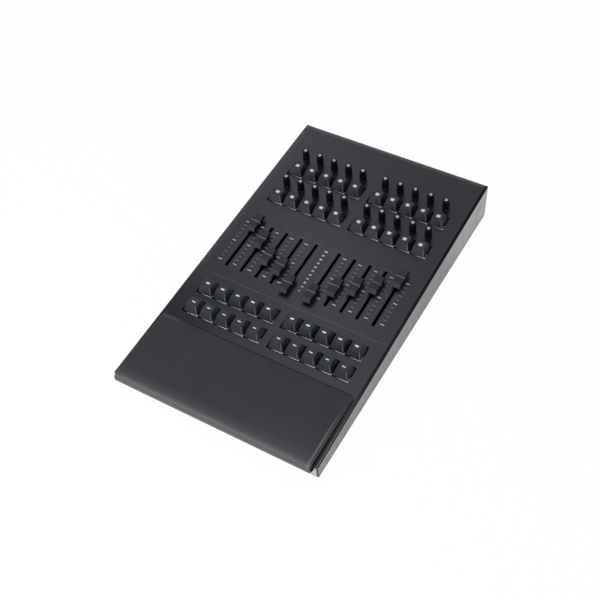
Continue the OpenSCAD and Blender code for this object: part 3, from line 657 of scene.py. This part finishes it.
# %% [markdown]
# In front of each key a thin light guide shows as a white line. It starts a third of the way along
# the cap, dim at first, and ends in a bright dot between two keys, from which a slim tail runs back
# between them. The guides lie on the rim of the dark frames. After the last key of a bank the tail
# lies on the frame's outer rim and is longer. In the two back rows the light rises more slowly and the
# dot is larger, so there are two patterns to copy for the back rows and two for the front rows.

# %% Light guides of the keys
CELL, RIM, FRAME_TOP = 17.85, 1.0, -0.2
GUIDE_HEIGHT, GUIDE_PROUD, GUIDE_START, GUIDE_WIDTH, DOT_BACK = 0.4, 0.08, -3.6, 0.38, 0.1
BACK_LIGHT, FRONT_LIGHT = {"dot": 0.78, "rise": 0.55}, {"dot": 0.5, "rise": 0.95}
RIB, TAIL_GLOW, SHORT_TAIL, LONG_TAIL = PITCH - CELL, 0.17, 2.4, 5.6


def guide_block(name, size, u, v):
    made = block(name, (*size, GUIDE_HEIGHT), (u, v, FRAME_TOP + GUIDE_PROUD - GUIDE_HEIGHT / 2))
    soften(made, 0.1, segments=2)
    return wear(made, light_bar)


def light_guide(name, tail_u, tail, dot, rise):
    line_v = -CELL / 2 - RIM / 4
    length = tail_u - GUIDE_START
    bar = guide_block("guide_bar", (length, GUIDE_WIDTH), (tail_u + GUIDE_START) / 2, line_v)
    with editing(bar):
        for share in (0.2, 0.4, 0.6, 0.8):
            slice_all((GUIDE_START + share * length, 0, 0), (1, 0, 0))
    spot = guide_block("guide_dot", (dot, dot), tail_u, line_v + DOT_BACK)
    branch = guide_block("guide_tail", (GUIDE_WIDTH, tail), tail_u, line_v + dot / 2 + tail / 2)
    with editing(branch):
        for share in (0.25, 0.5, 0.75):
            slice_all((0, line_v + dot / 2 + share * tail, 0), (0, 1, 0))

    def run(point):
        if point.y > line_v + dot / 2 + DOT_BACK:
            return (TAIL_GLOW, 0.5)
        if point.x > tail_u - dot / 2 - NEAR:
            return (1.0, 0.5)
        return (rise * (point.x - GUIDE_START) / length, 0.5)

    return map_flat(gather(name, [bar, spot, branch]), "guide_run", run)


guides = []
for rows, light in ((KEY_ROWS[:2], BACK_LIGHT), (KEY_ROWS[2:], FRONT_LIGHT)):
    inner = light_guide("guide_between_keys", CELL / 2 + RIB / 2, SHORT_TAIL, **light)
    outer = light_guide("guide_at_bank_end", CELL / 2 + RIM / 2, LONG_TAIL, **light)
    guides += [copy_at(outer if index % GROUP == GROUP - 1 else inner, on_panel(u, v))
               for v in rows for index, u in enumerate(COLUMNS)]
    discard(inner, outer)
print("light guides:", len(guides))
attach(gather("key_light_guides", guides), "case")

# %% [markdown]
# A knob is turned from a profile: widest just above its foot, then slimmer up to a rounded top with
# a milky lens. A circle is extruded upwards and resized ring by ring. Shallow flutes round the grip
# are made by drawing every other line of points in a little.

# %% Knobs
KNOB_PROFILE = [(3.7, 1.0), (3.92, 1.12), (4.08, 1.5), (4.18, 2.1), (4.2, 3.0), (4.2, 4.2),
                (4.17, 5.3), (4.11, 6.4), (4.03, 7.5), (3.95, 8.6), (3.87, 9.7), (3.82, 10.8),
                (3.8, 12.0), (3.78, 13.2), (3.68, 13.85), (3.4, 14.3), (2.95, 14.54), (2.4, 14.6)]
LENS_PROFILE = [(1.9, 14.3), (1.9, 14.66), (1.8, 14.76), (1.45, 14.8), (0.8, 14.82)]
SHAFT_PROFILE = [(2.2, -7.75), (2.5, -7.4), (2.5, 1.2)]
FLUTES, FLUTE_DEPTH = 16, 0.13
FLUTE_LOW, FLUTE_HIGH, FLUTE_FADE = 2.0, 13.4, 2.0


def faded(distance):
    return min(1.0, max(0.0, distance / FLUTE_FADE))


def knob_pattern():
    grip = lathe("knob_grip", KNOB_PROFILE, sides=96)
    with editing(grip), raw_mesh() as mesh:
        for vertex in mesh.verts:
            here = faded(vertex.co.z - FLUTE_LOW) * faded(FLUTE_HIGH - vertex.co.z)
            turn = math.atan2(vertex.co.y, vertex.co.x)
            radius = vertex.co.xy.length
            if radius > 0 and here > 0:
                drawn = FLUTE_DEPTH * here * (0.5 - 0.5 * math.cos(FLUTES * turn))
                vertex.co.x *= (radius - drawn) / radius
                vertex.co.y *= (radius - drawn) / radius
    lens = lathe("knob_lens", LENS_PROFILE, sides=32)
    shaft = lathe("knob_shaft", SHAFT_PROFILE, sides=32)
    return gather("knob_pattern", [wear(grip, knob_plastic), wear(lens, lens_milk),
                                   wear(shaft, housing_steel)])


pattern = knob_pattern()
for row, v in enumerate(KNOB_ROWS):
    for column, u in enumerate(COLUMNS):
        node = f"knob_{row * len(COLUMNS) + column + 1:02d}"
        knob = copy_at(pattern, on_panel(u, v))
        knob.name = knob.data.name = f"grip_{node}"
        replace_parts(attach(knob, node), node)
print("faces of one knob:", len(pattern.data.polygons))
discard(pattern)

# %% [markdown]
# A fader cap is a low saddle: it floats above the panel, its ends lean in steeply, and its top is
# slightly hollow for a finger. A block is narrowed at the top and cut across, and the points of the
# cuts are lowered onto an arc. Its sides and front get darker finishes than its top: painted shade.
# A thin grey pointer lies across the middle and runs down both sides, which are paler: painted light.
# The lever goes down through the slot to the carriage in its housing, so all of it moves together.

# %% Faders
FADER_V, TRAVEL = -200.3, 60.0
FADER_REST = (1, 0.69, 0.39, 0.29, 0, 0, 0.31, 0.49, 0.69, 1)
CAP_WIDTH, CAP_FOOT, CAP_CROWN, CAP_GAP, CAP_HEIGHT = 10.8, 25.8, 19.2, 4.0, 4.7
CAP_DIP, CAP_TAPER, CAP_RIM, CAP_HOLLOW, CAP_ROUNDING = 0.4, 0.3, 1.4, 0.8, 0.3
POINTER, POINTER_DROP, POINTER_OUT, POINTER_LIFT = 0.5, 3.4, 0.12, 0.05
CAP_TOP = CAP_GAP + CAP_HEIGHT
SADDLE_CUTS = [i / 5 for i in range(-4, 5)]
LEVER, LEVER_LENGTH, CARRIAGE_LOW = 1.2, 8.0, -8.9
CARRIAGE = (6.8, 12.0, 4.3)


def saddle_cap():
    narrow, short = (CAP_WIDTH - 2 * CAP_TAPER) / CAP_WIDTH, CAP_CROWN / CAP_FOOT
    cap = block("fader_cap", (CAP_WIDTH, CAP_FOOT, CAP_HEIGHT), (0, 0, CAP_GAP + CAP_HEIGHT / 2))
    with editing(cap):
        for share in SADDLE_CUTS:
            slice_all((0, share * CAP_FOOT / 2, 0), (0, 1, 0))
        choose("VERT", lambda vertex: vertex.co.z > CAP_TOP - NEAR)
        bpy.ops.transform.resize(value=(narrow, short, 1), center_override=(0, 0, CAP_TOP))
        with raw_mesh() as mesh:
            for vertex in mesh.verts:
                if vertex.co.z > CAP_TOP - NEAR:
                    vertex.co.z -= CAP_DIP * (1 - (2 * vertex.co.y / CAP_CROWN) ** 2)
        choose("FACE", lambda face: face.normal.z < -0.5)
        bpy.ops.mesh.dissolve_faces()
        bpy.ops.mesh.inset(thickness=CAP_RIM)
        bpy.ops.transform.translate(value=(0, 0, CAP_HOLLOW))
    soften(cap, CAP_ROUNDING, angle=30.0)
    for finish in (fader_plastic, fader_side_shade, fader_front_shade):
        cap.data.materials.append(finish.material)
    # Darker sides and front: painted shade.
    for face in cap.data.polygons:
        if abs(face.normal.x) > 0.8:
            face.material_index = 1
        elif face.normal.y < -0.4:
            face.material_index = 2
    return cap


def saddle_pointer():
    middle = CAP_TOP - CAP_DIP
    width = CAP_WIDTH - 2 * CAP_TAPER
    pointer = block("fader_pointer", (width + POINTER_OUT, POINTER, POINTER_DROP),
                    (0, 0, middle + POINTER_LIFT - POINTER_DROP / 2))
    with editing(pointer):
        choose("VERT", lambda vertex: vertex.co.z < middle - 1)
        bpy.ops.transform.resize(value=(1 + 2 * CAP_TAPER * POINTER_DROP / CAP_HEIGHT / width, 0.8, 1),
                                 center_override=(0, 0, 0))
    soften(pointer, 0.12, segments=2)
    # The pointer's sides take the paler white: painted light.
    wear(pointer, pointer_grey).data.materials.append(print_white.material)
    for face in pointer.data.polygons:
        face.material_index = int(abs(face.normal.x) > 0.7)
    return pointer


def fader_pattern():
    lever_top = CAP_GAP + CAP_HEIGHT / 2
    lever = block("fader_lever", (LEVER, LEVER_LENGTH, lever_top - CARRIAGE_LOW),
                  (0, 0, (lever_top + CARRIAGE_LOW) / 2))
    soften(lever, 0.2, segments=2)
    carriage = block("fader_carriage", CARRIAGE, (0, 0, CARRIAGE_LOW + CARRIAGE[2] / 2))
    soften(carriage, 0.4, segments=2)
    return gather("fader_pattern", [saddle_cap(), saddle_pointer(),
                                    wear(lever, switch_plastic), wear(carriage, switch_plastic)])


pattern = fader_pattern()
for index, (u, rest) in enumerate(zip(COLUMNS, FADER_REST)):
    node = f"fader_{index + 1:02d}"
    fader = copy_at(pattern, on_panel(u, FADER_V + TRAVEL * (rest - 0.5)))
    fader.name = fader.data.name = f"cap_{node}"
    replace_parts(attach(fader, node), node)
print("faces of one fader:", len(pattern.data.polygons))
discard(pattern)

# %% [markdown]
# The wrist rest is a soft moulded pad: thin at the back, fuller towards the front, and rolled over
# the front edge. Its side view is drawn as a ring of points, and the ring is drawn in a little at
# both ends, which rounds the side edges. A grid takes those rings one by one, like a sleeve, and
# each end is filled. It is moulded and firm, so it needs no cloth simulation.

# %% Shape of the wrist rest
PAD_WIDTH, PAD_BACK, PAD_FRONT = CASE_WIDTH - 10.0, -321.2, -406.4
PAD_LOW, PAD_HIGH, NOSE_RADIUS = 3.0, 6.5, 7.2
SIDE_EDGE, BACK_EDGE, BACK_CORNER = 1.8, 1.5, 4.0
ALONG, BACK_STEPS, NOSE_POINTS, UNDER_POINTS, ACROSS, END_STEPS = 60, 8, 32, 10, 60, 14


def drawn_in(past, radius):
    return radius - math.sqrt(max(0.0, radius**2 - max(0.0, past) ** 2))


def pad_top(v, lost, back):
    run = max(0.0, (PAD_BACK - v) / (PAD_BACK - PAD_FRONT))
    crown = PAD_LOW + (PAD_HIGH - PAD_LOW) * (1 - (1 - run) ** 2)
    edge = drawn_in(v - back + BACK_EDGE, BACK_EDGE)
    return crown - min(lost, 0.8 * crown) * (1 - edge / crown) - edge


def pad_ring(u):
    past = abs(u) - PAD_WIDTH / 2
    lost = drawn_in(past + SIDE_EDGE, SIDE_EDGE)
    back = PAD_BACK - drawn_in(past + BACK_CORNER, BACK_CORNER)
    rows = [back - BACK_EDGE * (1 - math.cos(math.pi / 2 * i / BACK_STEPS)) for i in range(BACK_STEPS)]
    rows += [back - BACK_EDGE + (PAD_FRONT - back + BACK_EDGE) * i / ALONG for i in range(ALONG + 1)]
    ring = [(v, pad_top(v, lost, back)) for v in rows]
    radius, middle = NOSE_RADIUS - lost, PAD_HIGH - NOSE_RADIUS
    for i in range(1, NOSE_POINTS + 1):
        turn = math.pi * (0.5 - i / NOSE_POINTS)
        ring.append((PAD_FRONT - radius * math.cos(turn), middle + radius * math.sin(turn)))
    low = middle - radius
    ring += [(PAD_FRONT, low * (1 - i / UNDER_POINTS)) for i in range(1, UNDER_POINTS)]
    return ring + [(v, 0.0) for v in reversed(rows)] + ring[:1]


edge = [PAD_WIDTH / 2 - SIDE_EDGE + SIDE_EDGE * math.sin(math.pi / 2 * i / END_STEPS)
        for i in range(END_STEPS + 1)]
shoulder = [PAD_WIDTH / 2 - BACK_CORNER + (BACK_CORNER - SIDE_EDGE) * i / 4 for i in range(4)]
middle = [shoulder[0] * (2 * i / ACROSS - 1) for i in range(1, ACROSS)]
stations = [-u for u in reversed(shoulder + edge)] + middle + shoulder + edge
rings = [pad_ring(u) for u in stations]
print("rings of the pad:", len(rings), "points in each:", len(rings[0]))

# %% Wrist rest
deselect()
bpy.ops.mesh.primitive_grid_add(x_subdivisions=len(stations) - 1, y_subdivisions=len(rings[0]) - 1,
                                size=1)
pad = bpy.context.object
pad.name = pad.data.name = "wrist_rest_pad"
for vertex in pad.data.vertices:
    column, row = vertex.index % len(stations), vertex.index // len(stations)
    v, w = rings[column][row]
    vertex.co = (stations[column], v, w)
with editing(pad):
    bpy.ops.mesh.remove_doubles(threshold=0.001)
    bpy.ops.mesh.select_mode(type="EDGE")
    bpy.ops.mesh.select_all(action="DESELECT")
    bpy.ops.mesh.select_non_manifold(extend=False)
    bpy.ops.mesh.fill()
    bpy.ops.mesh.select_all(action="SELECT")
    bpy.ops.mesh.normals_make_consistent(inside=False)
pad.data.transform(PANEL)
smooth(pad, angle=50.0)
wear(pad, pad_rubber)
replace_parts(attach(pad, "case"), "wrist_rest")
print("faces of the wrist rest:", len(pad.data.polygons))

# %% [markdown]
# The print on the panel is ink with a thickness: each mark is a very thin plate on the paint. Each
# fader has a scale of eleven marks beside its slot, brighter at both ends and in the middle. One
# column of plain numbers stands between the two groups, and a fine line divides faders from keys.

# %% Printed scales
INK, INK_SUNK = 0.06, 0.02
SCALE_TOP, SCALE_STEP, MARKS = -169.9, -6.01, 11
SCALE_LEFT, SCALE_RIGHT, NUMBERS_U, NUMBER_SIZE, NUMBER_BOLD = -11.0, 8.6, -0.5, 2.982, 0.07
MAJOR, MINOR = (4.4, 0.75), (3.4, 0.5)
OUTLINE_BACK, OUTLINE_FRONT, OUTLINE, HEAD_LINE, SIDE_LINE = -163.1, -235.8, 10.4, 0.36, 0.26
DIVIDER_V, DIVIDER_ENDS, DIVIDER_LINE = -251.5, (-108.0, 113.0), 0.4


def ink_mark(name, width, depth, finish):
    mark = block(name, (width, depth, INK), (0, 0, INK / 2 - INK_SUNK))
    soften(mark, 0.015, segments=1)
    return wear(mark, finish)


def print_on(name, pattern, places):
    piece = gather(name, [copy_at(pattern, on_panel(u, v)) for u, v in places])
    discard(pattern)
    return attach(piece, "case")


scale_places = [(u + (SCALE_LEFT if u < 0 else SCALE_RIGHT), SCALE_TOP + SCALE_STEP * i, i % 5 == 0)
                for u in COLUMNS for i in range(MARKS)]
print_on("scale_majors", ink_mark("major", *MAJOR, print_white),
         [(u, v) for u, v, big in scale_places if big])
print_on("scale_minors", ink_mark("minor", *MINOR, print_grey),
         [(u, v) for u, v, big in scale_places if not big])
print_on("slot_heads", ink_mark("head", OUTLINE, HEAD_LINE, print_faint),
         [(u, OUTLINE_BACK) for u in COLUMNS])
print_on("slot_sides", ink_mark("side", SIDE_LINE, OUTLINE_BACK - OUTLINE_FRONT, print_faint),
         [(u + side * OUTLINE / 2, (OUTLINE_BACK + OUTLINE_FRONT) / 2)
          for u in COLUMNS for side in (-1, 1)])
print_on("divider_line", ink_mark("line", DIVIDER_ENDS[1] - DIVIDER_ENDS[0], DIVIDER_LINE, print_faint),
         [(sum(DIVIDER_ENDS) / 2, DIVIDER_V)])

# %% Printed numbers
numbers = []
for i in range(MARKS):
    deselect()
    bpy.ops.object.text_add()
    text = bpy.context.object
    text.data.body = str(10 * (MARKS - 1 - i))
    text.data.size = NUMBER_SIZE
    text.data.align_x, text.data.align_y = "CENTER", "CENTER"
    text.data.extrude, text.data.offset = INK / 2, NUMBER_BOLD
    text.data.resolution_u = 3
    bpy.ops.object.convert(target="MESH")
    digit = wear(bpy.context.object, print_white)
    digit.data.transform(on_panel(NUMBERS_U, SCALE_TOP + SCALE_STEP * i, INK / 2 - INK_SUNK))
    numbers.append(digit)
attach(gather("scale_numbers", numbers), "case")
print("printed marks:", len(scale_places), "numbers:", len(numbers))

# %% [markdown]
# The back wall has a data socket and a power inlet. The socket is a steel shell with a plastic
# tongue and four gilt contacts. The inlet is a plastic block with a round hole, and a pin stands in
# it. Both are modelled about the middle of their mouths, looking out along Y.

# %% Back sockets
DATA_MOUTH, INLET_MOUTH = (-18.0, 206.68, 19.1), (18.0, 206.75, 18.6)
DATA_SIZE, DATA_WALL, DATA_DEPTH, TONGUE = (12.0, 16.0, 11.0), 1.0, 9.0, (6.0, 8.0, 2.6)
CONTACT, CONTACT_U, CONTACT_Y = (0.9, 5.5, 0.16), 1.4, 3.6
INLET_SIZE, INLET_LENGTH, INLET_HOLE, INLET_DEPTH = 10.0, 14.0, 5.6, 9.0
SPRING, SPRING_Y = (0.25, 6.0, 1.6), 3.2

shell = block("data_shell", DATA_SIZE, (0, -DATA_SIZE[1] / 2, 0))
with editing(shell):
    choose("FACE", lambda face: face.normal.y > 0.5)
    bpy.ops.mesh.inset(thickness=DATA_WALL)
    bpy.ops.mesh.extrude_region_move(TRANSFORM_OT_translate={"value": (0, -DATA_DEPTH, 0)})
soften(shell, 0.25, segments=2)
tongue = block("data_tongue", TONGUE, (0, -DATA_DEPTH + TONGUE[1] / 2 - 0.05, 0))
soften(tongue, 0.3, segments=2)
contacts = []
for side in (-1, 1):
    for u in (-CONTACT_U, CONTACT_U):
        contact = block("data_contact", CONTACT, (u, CONTACT_Y - DATA_DEPTH, side * TONGUE[2] / 2))
        soften(contact, 0.05, segments=1)
        contacts.append(wear(contact, contact_gold))
data_socket = gather("data_socket_shell",
                     [wear(shell, socket_steel), wear(tongue, socket_plastic), *contacts])
data_socket.data.transform(on_table(*DATA_MOUTH))
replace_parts(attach(data_socket, "case"), "data_socket")

ALONG_Y = Matrix.Rotation(math.radians(-90), 4, "X")
body = block("inlet_body", (INLET_SIZE, INLET_LENGTH, INLET_SIZE), (0, -INLET_LENGTH / 2, 0))
cutter = lathe("inlet_cutter", [(INLET_HOLE / 2, -INLET_DEPTH), (INLET_HOLE / 2, 1.0)], sides=40)
cutter.data.transform(ALONG_Y)
modify(body, "BOOLEAN", object=cutter, operation="DIFFERENCE", solver="EXACT")
soften(body, 0.3, segments=2)
discard(cutter)
PIN_PROFILE = [(1.0, -INLET_DEPTH - 0.3), (1.0, -2.2), (0.92, -1.7), (0.68, -1.35), (0.3, -1.2)]
pin = lathe("inlet_pin", PIN_PROFILE, sides=24)
pin.data.transform(ALONG_Y)
sleeve = block("inlet_spring", SPRING, (SPRING[0] - INLET_HOLE / 2, SPRING_Y - INLET_DEPTH, 0))
soften(sleeve, 0.1, segments=1)
inlet = gather("power_inlet_body",
               [wear(body, socket_plastic), wear(pin, socket_steel), wear(sleeve, contact_gold)])
inlet.data.transform(on_table(*INLET_MOUTH))
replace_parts(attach(inlet, "case"), "power_inlet")

# %% [markdown]
# Underneath, six screws hold the tray to the posts of the panel, and four rubber feet carry the
# desk. A screw head is turned upside down, with a cross cut into it. A foot has a rounded edge and a
# shallow hollow, so that it grips on its rim.

# %% Screws and feet
SCREW_X, SCREW_ROWS, FLOOR = CASE_WIDTH / 2 - 7.0, (184.908, 55.07, -184.3), 4.0
FOOT_X, FOOT_ROWS, FOOT_RADIUS = CASE_WIDTH / 2 - 24.0, (167.18, -163.101), 8.0

CROSS_LENGTH, CROSS_WIDTH, CROSS_HEIGHT, SCREW_END = 3.2, 0.7, 1.6, -1.8
SCREW_PROFILE = [(1.5, 11.0), (1.5, 0.0), (3.0, -0.02), (3.0, -0.7), (2.75, -1.25), (2.2, -1.6),
                 (1.2, SCREW_END)]
FOOT_PROFILE = [(FOOT_RADIUS - 0.2, 4.0), (FOOT_RADIUS, 3.8), (FOOT_RADIUS, 1.1), (7.75, 0.45),
                (7.2, 0.08), (6.6, 0.0), (5.6, 0.05), (5.0, 0.5), (4.6, 0.7), (2.0, 0.75)]


def in_pairs(name, pattern, x, rows, z):
    return gather(name, [copy_at(pattern, on_table(side * x, y, z)) for y in rows for side in (-1, 1)])


head = lathe("screw_head", SCREW_PROFILE, sides=40)
for arm in ((CROSS_LENGTH, CROSS_WIDTH), (CROSS_WIDTH, CROSS_LENGTH)):
    slot = block("screw_cross", (*arm, CROSS_HEIGHT), (0, 0, SCREW_END))
    modify(head, "BOOLEAN", object=slot, operation="DIFFERENCE", solver="EXACT")
    discard(slot)
smooth(head)
wear(head, screw_steel)
screws = in_pairs("tray_screws", head, SCREW_X, SCREW_ROWS, FLOOR)
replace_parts(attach(screws, "case"), "case_screws")

foot = wear(lathe("foot", FOOT_PROFILE, sides=64), foot_rubber)
feet = in_pairs("foot_pads", foot, FOOT_X, FOOT_ROWS, 0)
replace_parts(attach(feet, "case"), "rubber_feet")
discard(head, foot)
print("screws:", len(SCREW_ROWS) * 2, "feet:", len(FOOT_ROWS) * 2)

# %% [markdown]
# A product picture has a white ground and soft light from all round. The world lights the desk
# evenly, and a large low lamp at the front left brightens everything that faces the front. One from
# above lights the panel, two small ones at the right draw thin lights along the right edges, and a
# long narrow one at the back left shows as a soft band of sheen along the panel.
# What the camera and reflections see of the world and the floor is plain white, and the floor still
# shows some of the desk's shadow.

# %% Floor, world and lamps
FLOOR_SIZE, WORLD_LIGHT, FLOOR_GLOW, MIRRORED = 12, 0.32, 0.97, 0.6


def seen(graph):
    straight, mirrored, through = [graph.node("LightPath", output=f"Is {ray} Ray")
                                   for ray in ("Camera", "Glossy", "Transmission")]
    return straight.maths("MAXIMUM", mirrored * MIRRORED).maths("MAXIMUM", through)


world = bpy.data.worlds.new("white_room")
world.use_nodes = True
bpy.context.scene.world = world
room = Graph(world.node_tree)
lit = world.node_tree.nodes["Background"]
lit.inputs["Color"].default_value, lit.inputs["Strength"].default_value = WHITE, WORLD_LIGHT
white = room.node("Background", {}, {"Color": WHITE, "Strength": 1.0})
shown = room.node("MixShader", {}, {0: seen(room), 1: Wire(room, lit.outputs[0]), 2: white})
room.feed(world.node_tree.nodes["World Output"].inputs["Surface"], shown)

deselect()
bpy.ops.mesh.primitive_plane_add(size=FLOOR_SIZE)
floor = bpy.context.object
floor.name = "floor"
ground = Finish("floor_white", {"Base Color": colour(0.95, 0.95, 0.95), "Roughness": 0.9})
ground.mixed(seen(ground) * FLOOR_GLOW, ground.top, ground.node("Emission"))
wear(floor, ground)


def lamp(name, place, target, size, power):
    light = bpy.data.lights.new(name, "AREA")
    light.shape, light.energy = "ELLIPSE", power
    light.size, light.size_y = size
    made = bpy.data.objects.new(name, light)
    bpy.context.scene.collection.objects.link(made)
    turned = (Vector(target) - Vector(place)).to_track_quat("-Z", "Y")
    made.matrix_world = Matrix.Translation(place) @ turned.to_matrix().to_4x4()


DESK = (0, 0, 0.03)
lamp("front_light", (-0.45, -1.25, 0.65), DESK, (1.2, 1.0), 19.5)
lamp("top_light", (-0.4, -0.3, 1.4), DESK, (1.0, 1.0), 4.4)
lamp("right_back_light", (0.9, 0.75, 0.5), DESK, (0.4, 0.4), 2.8)
lamp("right_front_light", (1.05, -0.85, 0.22), DESK, (0.45, 0.45), 1.8)
lamp("left_back_light", (-0.29, 0.41, 1.43), DESK, (0.22, 2.0), 1.45)
bpy.context.scene.view_settings.view_transform = "Standard"
